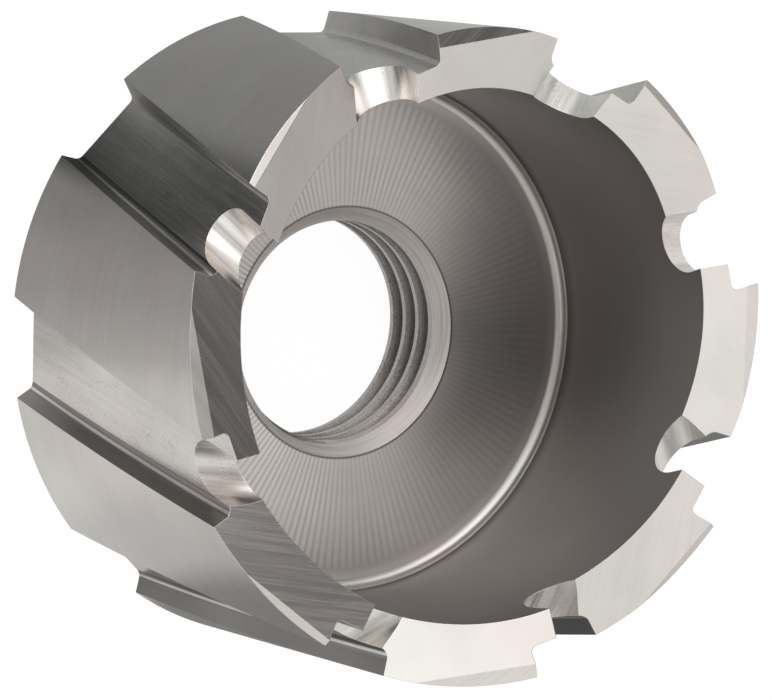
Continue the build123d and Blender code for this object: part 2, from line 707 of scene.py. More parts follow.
@dataclass
class ThreadTap:
    """The groove of the bore's thread, as a ridge that Geometry Nodes sweep along a helix."""

    sizes: CutterSizes
    root_flat_share: float = 0.125
    flank_angle: float = 30.0
    inner_radius: float = 8.6
    steps_a_turn: int = 160
    turns: float = 7.0
    end_height: float = 7.41
    end_angle: float = 175.0
    run_out_angle: float = 50.0
    run_out_scale: float = 0.2

    def profile(self) -> bpy.types.Object:
        """Draws the ridge's section, across from the helix at the inner radius.

        Returns:
            An object whose mesh is the closed outline.
        """
        height = self.sizes.thread_radius - self.inner_radius
        root = self.sizes.thread_pitch * self.root_flat_share / 2
        foot = root + height * math.tan(math.radians(self.flank_angle))
        points = [(0, -foot, 0), (height, -root, 0), (height, root, 0), (0, foot, 0)]
        edges = [(0, 1), (1, 2), (2, 3), (3, 0)]
        mesh = bpy.data.meshes.new("thread_profile")
        mesh.from_pydata([tuple(value * MM for value in point) for point in points], edges, [])
        return bpy.data.objects.new("thread_profile", mesh)

    def tree(self) -> bpy.types.NodeTree:
        """Builds the tree that sweeps the section along the helix.

        Returns:
            The geometry node tree, with named inputs.
        """
        sizes = {label: "Float" for label in ("Radius", "Pitch", "Turns", "Start", "Turned")}
        inputs = {"Geometry": "Geometry", **sizes, "Steps a Turn": "Int", "Steel": "Material"}
        graph, given, out = new_tree("Geometry", "Thread groove", inputs, {"Geometry": "Geometry"})
        helix = graph.add(
            "GeometryNodeCurveSpiral",
            {
                "Resolution": given["Steps a Turn"],
                "Rotations": given["Turns"],
                "Start Radius": given["Radius"],
                "End Radius": given["Radius"],
                "Height": graph.times(given["Pitch"], given["Turns"]),
                "Reverse": True,
            },
        )
        level = graph.add("GeometryNodeSetCurveNormal", {"Curve": helix.outputs[0]}, mode="Z_UP")
        outline = graph.add("GeometryNodeMeshToCurve", {"Mesh": given["Geometry"]})
        along = graph.add("GeometryNodeSplineParameter").outputs["Factor"]
        shrinks_at = 1 - self.run_out_angle / (360 * self.turns)
        scale = graph.fade(along, shrinks_at, 1.0, 1.0, self.run_out_scale)
        curves = {"Curve": level.outputs[0], "Profile Curve": outline.outputs[0]}
        ridge = graph.add("GeometryNodeCurveToMesh", {**curves, "Scale": scale, "Fill Caps": True})
        moves = {"Translation": graph.point(z=given["Start"]), "Rotation": graph.point(z=given["Turned"])}
        placed = graph.add("GeometryNodeTransform", {"Geometry": ridge.outputs[0], **moves})
        mark = {"Geometry": placed.outputs[0], "Name": "cut", "Value": int(Cut.THREAD)}
        marked = graph.add("GeometryNodeStoreNamedAttribute", mark, data_type="INT", domain="FACE")
        real = graph.add("GeometryNodeRealizeInstances", {"Geometry": marked.outputs[0]})
        dress = {"Geometry": real.outputs[0], "Material": given["Steel"]}
        graph.feed(out[0], graph.add("GeometryNodeSetMaterial", dress).outputs[0])
        return graph.tree

    def build(self, steel: bpy.types.Material) -> bpy.types.Object:
        """Sweeps the ridge from below the back face up to where it runs out, in the mouth's chamfer.

        Args:
            steel: The thread's material.

        Returns:
            The ridge as a plain mesh.
        """
        s = self.sizes
        values = {
            "Radius": self.inner_radius * MM,
            "Pitch": s.thread_pitch * MM,
            "Turns": self.turns,
            "Start": (self.end_height - s.thread_pitch * self.turns) * MM,
            "Turned": math.radians(self.end_angle),
            "Steps a Turn": self.steps_a_turn,
            "Steel": steel,
        }
        return grown(self.profile(), self.tree(), values, "thread_cut")


def grown(source: bpy.types.Object, tree: bpy.types.NodeTree, values: dict, name: str) -> bpy.types.Object:
    """Runs a geometry node tree on an object and keeps the result as a plain mesh.

    Args:
        source: The object that the tree starts from, which is removed afterwards.
        tree: The tree.
        values: The tree's inputs by name.
        name: The name of the new object.

    Returns:
        The new object, with no modifiers.
    """
    bpy.context.scene.collection.objects.link(source)
    modifier = source.modifiers.new(tree.name, "NODES")
    modifier.node_group = tree
    sockets = {item.name: item.identifier for item in tree.interface.items_tree if item.in_out == "INPUT"}
    for label, value in values.items():
        modifier[sockets[label]] = value
    graph = bpy.context.evaluated_depsgraph_get()
    graph.update()
    mesh = bpy.data.meshes.new_from_object(source.evaluated_get(graph), depsgraph=graph)
    mesh.name = name
    bpy.data.objects.remove(source)
    return bpy.data.objects.new(name, mesh)


@dataclass(frozen=True)
class Repeat:
    """How a cut is repeated round the cutter: from its first tooth on, at every tooth or every few."""

    name: str
    first: int = 0
    step: int = 1


@dataclass
class CutterBody:
    """The whole cutter: the blank, with every cut repeated round it by Geometry Nodes."""

    sizes: CutterSizes
    sharp_angle: float = 22.0
    planes: tuple[Cut, ...] = (Cut.END_FACE, Cut.CORNER_BEVEL, Cut.BACK)
    repeats: tuple[Repeat, ...] = (
        Repeat("Flute"),
        Repeat("Gullet"),
        Repeat("End Face"),
        Repeat("Wide Bevel", first=0, step=2),
        Repeat("Narrow Bevel", first=1, step=2),
    )

    def tree(self, steels: list[bpy.types.Material]) -> bpy.types.NodeTree:
        """Builds the tree that repeats each cut round the axis and takes it from the blank.

        Args:
            steels: The material of each cut, in their order.

        Returns:
            The geometry node tree, with named inputs.
        """
        shapes = {repeat.name: "Object" for repeat in self.repeats}
        inputs = {"Geometry": "Geometry", "Teeth": "Int", **shapes, "Thread": "Object"}
        graph, given, out = new_tree("Geometry", "Cutter body", inputs, {"Geometry": "Geometry"})
        places = graph.add("GeometryNodePoints", {"Count": given["Teeth"]})
        tooth = graph.add("GeometryNodeInputIndex").outputs[0]
        turn = graph.point(z=graph.times(tooth, graph.math("DIVIDE", 2 * math.pi, given["Teeth"])))
        body = given["Geometry"]
        for repeat in self.repeats:
            shape = graph.add("GeometryNodeObjectInfo", {"Object": given[repeat.name], "As Instance": True})
            place = graph.math("MODULO", tooth, repeat.step)
            # Both are whole numbers, so a gap of less than one half means that they are the same
            taken = graph.math("COMPARE", place, repeat.first, 0.5)
            inputs = {"Points": places.outputs[0], "Instance": shape.outputs["Geometry"], "Selection": taken}
            around = graph.add("GeometryNodeInstanceOnPoints", {**inputs, "Rotation": turn})
            real = graph.add("GeometryNodeRealizeInstances", {"Geometry": around.outputs[0]})
            body = self.cut_from(graph, body, real.outputs[0])
        thread = graph.add("GeometryNodeObjectInfo", {"Object": given["Thread"]})
        body = self.cut_from(graph, body, thread.outputs["Geometry"])
        body = graph.add("GeometryNodeRealizeInstances", {"Geometry": body}).outputs[0]
        mark = graph.add("GeometryNodeInputNamedAttribute", {"Name": "cut"}, data_type="INT")
        for number, steel in enumerate(steels):
            inputs = {2: mark.outputs["Attribute"], 3: number}
            same = graph.add("FunctionNodeCompare", inputs, data_type="INT", operation="EQUAL")
            inputs = {"Geometry": body, "Selection": same.outputs[0], "Material": steel}
            body = graph.add("GeometryNodeSetMaterial", inputs).outputs[0]
        graph.feed(out[0], body)
        return graph.tree

    def cut_from(self, graph: Graph, body: Socket, cutter: Socket) -> Socket:
        """Takes one shape from another.

        Args:
            graph: The tree's graph.
            body: The shape that stays.
            cutter: The shape that is taken away.

        Returns:
            The geometry that is left.
        """
        inputs = {"Mesh 1": body, "Mesh 2": cutter}
        node = graph.add("GeometryNodeMeshBoolean", inputs, operation="DIFFERENCE", solver="MANIFOLD")
        return node.outputs["Mesh"]

    def build(self, steels: dict[Cut, bpy.types.Material]) -> bpy.types.Object:
        """Cuts the blank and gives the finished, plain mesh.

        Args:
            steels: The material of each cut.

        Returns:
            The cutter's object.
        """
        s = self.sizes
        cuts = [FluteCut(s).build(), GulletCut(s).build(), *ToothGrinding(s).build()]
        thread = ThreadTap(s).build(steels[Cut.THREAD])
        for cut in (*cuts, thread):
            bpy.context.scene.collection.objects.link(cut)
        ordered = [steels[cut] for cut in Cut]
        values: dict[str, object] = {"Teeth": s.teeth, "Thread": thread}
        values.update(zip((repeat.name for repeat in self.repeats), cuts))
        blank = TurnedBlank(s).build()
        blank.data.materials.append(ordered[0])
        body = grown(blank, self.tree(ordered), values, "cutter_body")
        for cut in (*cuts, thread):
            bpy.data.objects.remove(cut)
        self.smooth(body.data, [steels[cut].name for cut in self.planes])
        return body

    def smooth(self, mesh: bpy.types.Mesh, planes: list[str]) -> None:
        """Shades the curved surfaces smoothly, and keeps the planes flat and the cut edges sharp.

        Args:
            mesh: The cutter's mesh.
            planes: The names of the materials of the ground planes.
        """
        mesh.set_sharp_from_angle(angle=math.radians(self.sharp_angle))
        flat = {mesh.materials.find(name) for name in planes}
        mesh.polygons.foreach_set("use_smooth", [face.material_index not in flat for face in mesh.polygons])


# Finishes


@dataclass
class SharedEffects:
    """The node groups that the finishes share, each built once.

    The patches of specks have their scale in cells to a millimetre, and the broad marks are that share
    as close together as the fine ones.
    """

    sizes: CutterSizes
    teeth_apart: float = 50.0
    broad_mark_scale: float = 0.17
    broad_mark_share: float = 0.4
    mark_range: tuple[float, float] = (0.36, 0.64)
    edge_samples: int = 6
    edge_range: tuple[float, float] = (0.995, 0.93)
    patch_scale: float = 0.42
    patch_share: float = 0.35
    amount_share: float = 0.12
    speck_range: tuple[float, float] = (0.84, 0.93)
    cloud_range: tuple[float, float] = (0.3, 0.7)
    warmth_range: tuple[float, float] = (0.35, 0.65)
    warmth_moved: tuple[float, float, float] = (310.0, 170.0, 230.0)

    def __post_init__(self) -> None:
        """Builds the groups."""
        self.gullet = GulletCut(self.sizes)
        self.tooth_frame = self.make_tooth_frame()
        self.tool_marks = self.make_tool_marks()
        self.rounded_edge = self.make_rounded_edge()
        self.specks = self.make_specks()
        self.clouds = self.make_clouds()

    def make_tooth_frame(self) -> bpy.types.NodeTree:
        """Builds the group that turns a point back to the first tooth.

        Returns:
            The group, which takes the angle where the first tooth's stretch ends. It gives the point turned
            back and untwisted along the flutes, the point turned back alone, and how far apart the tooth's
            pattern lies from the other teeth's.
        """
        outputs = {"Local": "Vector", "Level": "Vector", "Apart": "Float"}
        graph, given, out = new_tree("Shader", "Tooth frame", {"End": "Float"}, outputs)
        s = self.sizes
        place = graph.object_point()
        under_tips = graph.less(graph.axes(place)["Z"], s.tip_height * MM)
        twist = graph.times(under_tips, 360 / (s.flute_lead * MM))
        level = graph.less(graph.math("DEGREES", graph.azimuth(place)), twist)
        tooth = graph.math("CEIL", graph.math("DIVIDE", graph.less(level, given["End"]), s.tooth_pitch))
        back = graph.math("RADIANS", graph.times(tooth, -s.tooth_pitch))
        untwisted = graph.less(back, graph.math("RADIANS", twist))
        graph.feed(out["Local"], graph.turned(place, untwisted))
        graph.feed(out["Level"], graph.turned(place, back))
        graph.feed(out["Apart"], graph.times(graph.scattered(tooth), self.teeth_apart * MM))
        return graph.tree

    def make_tool_marks(self) -> bpy.types.NodeTree:
        """Builds the group that draws fine marks, drawn out along one way.

        Returns:
            The group, which takes a point whose X runs across the marks, and gives their height and tone.
        """
        inputs = {"Point": "Vector", "Across": "Float", "Along": "Float"}
        graph, given, out = new_tree("Shader", "Tool marks", inputs, {"Height": "Float", "Tone": "Float"})
        scale = graph.point(given["Across"], given["Along"], given["Along"])
        stretched = graph.vector("MULTIPLY", given["Point"], scale)
        fine = graph.noise(stretched, 1.0, detail=3.0)
        broad = graph.noise(stretched, self.broad_mark_scale, detail=2.0)
        share = self.broad_mark_share
        tone = graph.plus(graph.times(fine, 1 - share), graph.times(broad, share))
        graph.feed(out["Height"], fine)
        graph.feed(out["Tone"], graph.fade(tone, *self.mark_range))
        return graph.tree

    def make_rounded_edge(self) -> bpy.types.NodeTree:
        """Builds the group that rounds sharp edges a little and finds where they are.

        Returns:
            The group, which gives the rounded normal and a mask that is 1 on an edge.
        """
        outputs = {"Normal": "Vector", "Mask": "Float"}
        graph, given, out = new_tree("Shader", "Rounded edge", {"Radius": "Float"}, outputs)
        rounded = graph.add("ShaderNodeBevel", {"Radius": given["Radius"]}, samples=self.edge_samples)
        plain = graph.add("ShaderNodeNewGeometry").outputs["Normal"]
        same = graph.vector("DOT_PRODUCT", rounded.outputs[0], plain, out="Value")
        graph.feed(out["Normal"], rounded.outputs[0])
        graph.feed(out["Mask"], graph.fade(same, *self.edge_range))
        return graph.tree

    def make_specks(self) -> bpy.types.NodeTree:
        """Builds the group that scatters small pits and stains.

        Returns:
            The group, which gives a mask that is 1 in a pit.
        """
        inputs = {"Scale": "Float", "Amount": "Float"}
        graph, given, out = new_tree("Shader", "Specks", inputs, {"Mask": "Float"})
        place = graph.object_point()
        grains = graph.noise(place, given["Scale"], detail=3.0)
        patches = graph.noise(place, self.patch_scale / MM, detail=2.0)
        level = graph.plus(grains, graph.times(patches, self.patch_share))
        level = graph.plus(level, graph.times(given["Amount"], self.amount_share))
        graph.feed(out["Mask"], graph.fade(level, *self.speck_range))
        return graph.tree

    def make_clouds(self) -> bpy.types.NodeTree:
        """Builds the group of broad, soft changes in tone and in warmth.

        Returns:
            The group, which gives a tone from -1 to 1 and a warmth from 0 to 1.
        """
        outputs = {"Tone": "Float", "Warmth": "Float"}
        graph, given, out = new_tree("Shader", "Clouds", {"Scale": "Float"}, outputs)
        place = graph.object_point()
        moved = graph.vector("ADD", place, tuple(value * MM for value in self.warmth_moved))
        broad = graph.noise(place, given["Scale"], detail=3.0)
        tint = graph.noise(moved, given["Scale"], detail=1.0)
        graph.feed(out["Tone"], graph.fade(broad, *self.cloud_range, -1.0, 1.0))
        graph.feed(out["Warmth"], graph.fade(tint, *self.warmth_range))
        return graph.tree


@dataclass(frozen=True)
class Chatter:
    """The ripples that a chattering tool leaves across its rings, strongest on one side of the cutter.

    The slant is in radians to a millimetre, and the scale of the patches in cells to a millimetre.
    """

    lines: float
    side: float
    height: float = 3.0
    tone: float = 0.3
    slant: float = 0.3
    sharpness: float = 2.0
    crest: float = 0.5
    depth: float = 1.4
    patch_scale: float = 0.16
    patch_range: tuple[float, float] = (0.3, 0.7)
    patch_strength: tuple[float, float] = (0.5, 1.2)
    side_range: tuple[float, float] = (-0.9, 0.7)
    side_strength: tuple[float, float] = (0.25, 1.0)
    rim_start: float = 18.6
    rim_end: float = 19.3
    rim_strength: float = 0.1

    def ripple(self, graph: Graph) -> Socket:
        """Draws the ripples.

        Args:
            graph: The material's graph.

        Returns:
            The ripples, about zero.
        """
        place = graph.object_point()
        azimuth, radius = graph.azimuth(place), graph.radius(place)
        turns = graph.math("MULTIPLY_ADD", radius, self.slant / MM, graph.times(azimuth, self.lines))
        groove = graph.math("POWER", graph.between(graph.math("SINE", turns), 0.5, 1.0), self.sharpness)
        patch = graph.noise(place, self.patch_scale / MM, detail=1.0)
        strength = graph.fade(patch, *self.patch_range, *self.patch_strength)
        side = graph.math("COSINE", graph.less(azimuth, math.radians(self.side)))
        strength = graph.times(strength, graph.fade(side, *self.side_range, *self.side_strength))
        rim = graph.fade(radius, self.rim_start * MM, self.rim_end * MM, 1.0, self.rim_strength)
        wave = graph.between(groove, self.crest, self.crest - self.depth)
        return graph.times(wave, graph.times(strength, rim))


@dataclass(frozen=True)
class PaintedShadeRing:
    """The thin line of painted shade round a countersink's edge."""

    radius: float
    core: float = 0.04
    reach: float = 0.16
    tone: float = 0.35

    def factor(self, graph: Graph) -> Socket:
        """Draws the line, as a factor that is under 1 on it."""
        away = graph.math("ABSOLUTE", graph.less(graph.radius(graph.object_point()), self.radius * MM))
        return graph.fade(away, self.core * MM, self.reach * MM, self.tone, 1.0)


@dataclass(frozen=True)
class PaintedEdgeShading:
    """A painted change of light towards an edge, by distance from the axis or by height over the back face:
    painted shade where it darkens, painted highlight where it lightens.
    """

    tone: float
    start: float
    end: float
    by_height: bool = False

    def factor(self, graph: Graph) -> Socket:
        """Draws the change.

        Args:
            graph: The material's graph.

        Returns:
            The factor, which is 1 up to the start and the edge's own past the end.
        """
        place = graph.object_point()
        along = graph.axes(place)["Z"] if self.by_height else graph.radius(place)
        return graph.fade(along, self.start * MM, self.end * MM, 1.0, self.tone)


def shade(tone: float, hue: tuple[float, float, float] = (1.0, 1.0, 1.0)) -> tuple[float, ...]:
    """Gives a hue its lightness, as a colour that a socket takes."""
    return (*(tone * part for part in hue), 1.0)


@dataclass(frozen=True)
class SteelFinish:
    """One way in which the cutter's steel was machined.

    Scales are in marks or cells to a millimetre. Pits and stain are amounts from 0 to 1, and the heights of
    the grain and of the chatter are multiples of the marks' own.
    """

    name: str
    lay: Lay
    tone: float = 0.6
    roughness: float = 0.28
    anisotropy: float = 0.0
    pinkness: float = 0.0
    warm_hue: tuple[float, float, float] = (1.02, 1.0, 0.955)
    pink_hue: tuple[float, float, float] = (1.055, 0.98, 0.95)
    tone_change: float = 0.06
    cloud_scale: float = 0.12
    cloud_change: float = 0.04
    marks_across: float = 9.0
    marks_along: float = 0.16
    mark_height: float = 0.002
    marks_turned: float = 0.0
    flute_radius: float = 23.5
    edge_radius: float = 0.06
    edge_highlight: float = 0.25
    pits: float = 0.0
    pit_scale: float = 8.0
    pit_tone: float = 0.72
    stain: float = 0.0
    stain_scale: float = 6.0
    stain_hue: tuple[float, float, float] = (0.26, 0.2, 0.13)
    grain: float = 0.0
    grain_scale: float = 5.0
    grain_range: tuple[float, float] = (0.3, 0.7)
    chatter: Chatter | None = None
    painted_shade_ring: PaintedShadeRing | None = None
    painted_edge_shading: PaintedEdgeShading | None = None

    def marked_point(self, graph: Graph, effects: SharedEffects) -> Socket:
        """Finds the point whose X runs across the tool marks.

        Args:
            graph: The material's graph.
            effects: The shared groups.

        Returns:
            The point's socket.
        """
        if self.lay in (Lay.ROUND_THE_AXIS, Lay.ROUND_A_FACE):
            place = graph.object_point()
            axes = graph.axes(place)
            across = axes["Z"] if self.lay is Lay.ROUND_THE_AXIS else graph.radius(place)
            return graph.point(across, axes["X"], axes["Y"])
        slot, sizes = effects.gullet, effects.sizes
        middle_of_land = sizes.tooth_pitch - sizes.land_angle / 2
        end = slot.angle_ahead if self.lay is Lay.ACROSS_A_TOOTH else middle_of_land
        own = graph.group(effects.tooth_frame, {"End": end})
        if self.lay is Lay.ALONG_A_FLUTE:
            across = graph.times(graph.azimuth(own["Local"]), self.flute_radius * MM)
            return graph.point(across, graph.axes(own["Local"])["Z"], own["Apart"])
        if self.lay is Lay.ALONG_A_GULLET:
            turn = Matrix(slot.axes()).transposed().to_euler()
            inputs = {"Vector": own["Level"], "Location": slot.centre() * MM, "Rotation": turn}
            axes = graph.axes(graph.add("ShaderNodeMapping", inputs, vector_type="TEXTURE").outputs[0])
            across = graph.times(graph.math("ARCTAN2", axes["X"], axes["Y"]), slot.radius * MM)
            return graph.point(across, axes["Z"], own["Apart"])
        turned = graph.turned(own["Level"], math.radians(self.marks_turned))
        return graph.vector("ADD", turned, graph.point(z=own["Apart"]))

    def roughened(
        self, graph: Graph, effects: SharedEffects, tone: Socket, height: Socket
    ) -> tuple[Socket, Socket]:
        """Adds pits, torn grain, chatter, and the painted shade and painted highlight near edges, to a plain
        surface.

        Args:
            graph: The material's graph.
            effects: The shared groups.
            tone: The plain surface's factor on the steel's tone.
            height: The plain surface's height.

        Returns:
            The factor and the height with all of them.
        """
        if self.pits:
            values = {"Scale": self.pit_scale / MM, "Amount": self.pits}
            pits = graph.group(effects.specks, values)["Mask"]
            tone = graph.times(tone, graph.between(pits, 1.0, self.pit_tone))
        if self.grain:
            torn = graph.noise(graph.object_point(), self.grain_scale / MM, detail=4.0)
            height = graph.plus(height, graph.times(torn, self.grain))
            darkest, lightest = 1 - self.tone_change, 1 + self.tone_change
            tone = graph.times(tone, graph.fade(torn, *self.grain_range, darkest, lightest))
        if self.chatter:
            ripple = self.chatter.ripple(graph)
            height = graph.plus(height, graph.times(ripple, self.chatter.height))
            tone = graph.times(tone, graph.between(ripple, 1.0, 1 + self.chatter.tone))
        # Painted shade and painted highlight near edges
        for change in (self.painted_shade_ring, self.painted_edge_shading):
            if change:
                tone = graph.times(tone, change.factor(graph))
        return tone, height

    def material(self, effects: SharedEffects) -> bpy.types.Material:
        """Builds the finish's material.

        Args:
            effects: The shared groups.

        Returns:
            The material.
        """
        made = bpy.data.materials.new(self.name)
        graph = cleared(made)
        scales = {"Across": self.marks_across / MM, "Along": self.marks_along / MM}
        point = self.marked_point(graph, effects)
        marks = graph.group(effects.tool_marks, {"Point": point, **scales})
        clouds = graph.group(effects.clouds, {"Scale": self.cloud_scale / MM})
        edge = graph.group(effects.rounded_edge, {"Radius": self.edge_radius * MM})
        change = self.tone_change
        tone = graph.between(marks["Tone"], 1 - change, 1 + change)
        tone = graph.plus(tone, graph.times(clouds["Tone"], self.cloud_change))
        # Painted highlight: the found edges are painted lighter.
        tone = graph.plus(tone, graph.times(edge["Mask"], self.edge_highlight))
        tone, height = self.roughened(graph, effects, tone, marks["Height"])
        pinkness = graph.math("MAXIMUM", clouds["Warmth"], self.pinkness)
        hue = graph.mix_colour(pinkness, shade(self.tone, self.warm_hue), shade(self.tone, self.pink_hue))
        colour = graph.scaled(hue, tone)
        if self.stain:
            values = {"Scale": self.stain_scale / MM, "Amount": self.stain}
            stains = graph.group(effects.specks, values)["Mask"]
            colour = graph.mix_colour(stains, colour, shade(1.0, self.stain_hue))
        rough = graph.between(marks["Tone"], self.roughness - change / 2, self.roughness + change / 2)
        bumps = {"Height": height, "Distance": self.mark_height * MM, "Normal": edge["Normal"]}
        inputs = {
            "Base Color": colour,
            "Metallic": 1.0,
            "Roughness": rough,
            "Normal": graph.add("ShaderNodeBump", bumps).outputs[0],
            "Anisotropic": self.anisotropy,
        }
        steel = graph.add("ShaderNodeBsdfPrincipled", inputs)
        if self.anisotropy:
            round_the_axis = graph.add("ShaderNodeTangent", direction_type="RADIAL", axis="Z")
            graph.feed(steel.inputs["Tangent"], round_the_axis.outputs[0])
        graph.add("ShaderNodeOutputMaterial", {"Surface": steel.outputs[0]})
        return made


def steel_finishes() -> dict[Cut, SteelFinish]:
    """Lists how each cut was finished.

    Returns:
        The finish of each cut.
    """
    ring, rings = Lay.ROUND_THE_AXIS, Lay.ROUND_A_FACE
    tooth, flute, gullet = Lay.ACROSS_A_TOOTH, Lay.ALONG_A_FLUTE, Lay.ALONG_A_GULLET
    ground = {"tone_change": 0.04, "mark_height": 0.0002, "marks_across": 11.0}
    milled = {"roughness": 0.26, "marks_across": 5.0}
    return {
        Cut.BACK: SteelFinish("ground_back_face", tooth, marks_turned=20.0, **ground),
        Cut.LAND: SteelFinish(
            "ground_land", ring, tone=0.52, roughness=0.26, tone_change=0.03, mark_height=0.0005
        ),
        Cut.FLUTE: SteelFinish("milled_flute", flute, tone=0.59, mark_height=0.001, pits=0.65, **milled),
        # Painted shade: the heel flank is the flute's own milled steel, painted far darker.
        Cut.TRAIL: SteelFinish("milled_heel_flank_painted_shade", flute, tone=0.2, pinkness=0.8, **milled),
        Cut.RAKE: SteelFinish(
            "milled_rake_face",
            flute,
            tone=0.58,
            roughness=0.34,
            mark_height=0.004,
            pits=0.7,
            stain=0.2,
            grain=2.0,
        ),
        # Painted light: the gullet is milled steel like the flute, painted much lighter.
        Cut.GULLET: SteelFinish(
            "milled_gullet_painted_light",
            gullet,
            tone=0.8,
            roughness=0.36,
            tone_change=0.11,
            marks_across=5.0,
            marks_along=0.15,
            mark_height=0.0025,
            pits=0.5,
        ),
        Cut.END_FACE: SteelFinish(
            "ground_end_face", tooth, tone=0.58, roughness=0.26, marks_turned=-24.0, **ground
        ),
        Cut.CORNER_BEVEL: SteelFinish(
            "ground_corner_bevel", tooth, tone=0.59, roughness=0.22, marks_turned=-24.0, **ground
        ),
        Cut.CUP_FLOOR: SteelFinish(
            "turned_cup_floor",
            rings,
            tone=0.6,
            roughness=0.36,
            anisotropy=0.75,
            pinkness=0.8,
            tone_change=0.02,
            mark_height=0.001,
            chatter=Chatter(lines=172.0, side=65.0),
            # Painted shade: a thin dark line round the mouth's edge.
            painted_shade_ring=PaintedShadeRing(radius=10.1),
            # Painted highlight: the floor grows lighter towards its corner.
            painted_edge_shading=PaintedEdgeShading(tone=1.3, start=19.0, end=19.9),
        ),
        Cut.CUP_CORNER: SteelFinish("turned_cup_corner", ring, tone=0.56, roughness=0.4),
        # Painted shade: the cup's wall is painted far darker than the other steel, and darker still towards
        # its foot.
        Cut.CUP_WALL: SteelFinish(
            "turned_cup_wall_painted_shade",
            ring,
            tone=0.17,
            roughness=0.36,
            pinkness=0.8,
            tone_change=0.03,
            painted_edge_shading=PaintedEdgeShading(tone=0.6, start=10.6, end=9.3, by_height=True),
        ),
        # Painted light: the mouth's chamfer is painted much lighter than the other steel.
        Cut.MOUTH: SteelFinish(
            "turned_mouth_painted_light", rings, tone=0.9, roughness=0.6, pinkness=0.5, tone_change=0.1, mark_height=0.001
        ),
        Cut.THREAD: SteelFinish(
            "tapped_thread",
            ring,
            tone=0.36,
            roughness=0.45,
            pinkness=0.6,
            tone_change=0.12,
            mark_height=0.01,
            edge_highlight=0.4,
            pits=0.9,
            stain=0.3,
            grain=3.0,
            # Painted shade: darker towards the roots of the thread's groove.
            painted_edge_shading=PaintedEdgeShading(tone=0.55, start=9.0, end=9.5),
        ),
    }


# The studio


@dataclass(frozen=True)
class Glow:
    """A soft bright or dark patch of the studio's walls and ceiling, placed and sized in degrees."""

    azimuth: float
    elevation: float
    inner: float
    outer: float
    strength: float

    def towards(self) -> tuple[float, float, float]:
        """Finds the way to the middle of the patch.

        Returns:
            A vector of length 1.
        """
        flat = polar(math.cos(math.radians(self.elevation)), self.azimuth)
        return flat.x, flat.y, math.sin(math.radians(self.elevation))

    def added_to(self, light: object, look: Socket, graph: Graph) -> Socket:
        """Adds the patch to the light.

        Args:
            light: The light so far.
            look: The direction that is looked in.
            graph: The world's graph.

        Returns:
            The light with the patch.
        """
        close = graph.vector("DOT_PRODUCT", look, self.towards(), out="Value")
        edge, full = math.cos(math.radians(self.outer)), math.cos(math.radians(self.inner))
        return graph.plus(light, graph.fade(close, edge, full, 0.0, self.strength))


@dataclass(frozen=True)
class CardTone:
    """How light the reflection card is on one side of the cutter, and how much redder than grey."""

    azimuth: float
    tone: float
    warmth: float


